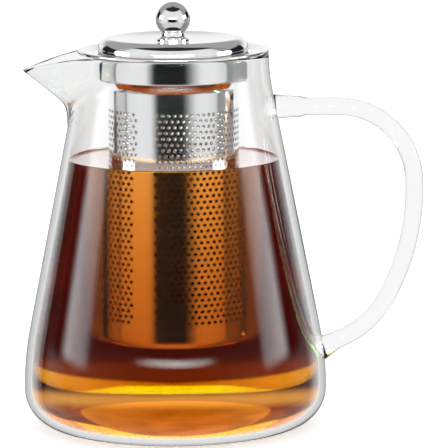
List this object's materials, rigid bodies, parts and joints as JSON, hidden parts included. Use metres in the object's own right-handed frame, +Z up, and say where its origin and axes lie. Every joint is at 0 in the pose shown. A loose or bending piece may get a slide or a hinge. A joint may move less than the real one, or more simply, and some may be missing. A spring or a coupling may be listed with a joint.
{
  "type": "tea infuser",
  "caption": "Glass teapot with a spout and looped rod handle, holding a lift-out perforated steel infuser basket under a ball-knob lid.",
  "frame": {"origin": "centre of the pot's ring foot, on the surface it stands on", "axes": "+Z up along the pot's axis; the spout points to -X and the handle to +X; -Y is the front"},
  "size_m": [0.1668, 0.1262, 0.1771],
  "materials": {
    "glass": "clear, fire-polished borosilicate",
    "polished_steel": "mirror-polished stainless steel",
    "perforated_steel": "polished perforated stainless sheet",
    "fastener_steel": "plain stainless"
  },
  "bodies": {
    "pot": {"pot_body": "glass", "handle": "glass", "handle_upper_weld": "glass", "handle_lower_weld": "glass"},
    "infuser": {"infuser_collar": "polished_steel", "infuser_sleeve": "perforated_steel", "infuser_base": "perforated_steel"},
    "lid": {"lid_shell": "polished_steel", "knob_foot": "polished_steel", "knob_ball": "polished_steel", "knob_washer": "fastener_steel", "knob_screw": "fastener_steel"}
  },
  "joints": [
    {"name": "infuser_lift", "type": "slide", "parent": "pot", "child": "infuser", "axis": [0, 0, 1], "range_m": [0, 0.13]},
    {"name": "lid_lift", "type": "slide", "parent": "infuser", "child": "lid", "axis": [0, 0, 1], "range_m": [0, 0.06]}
  ]
}
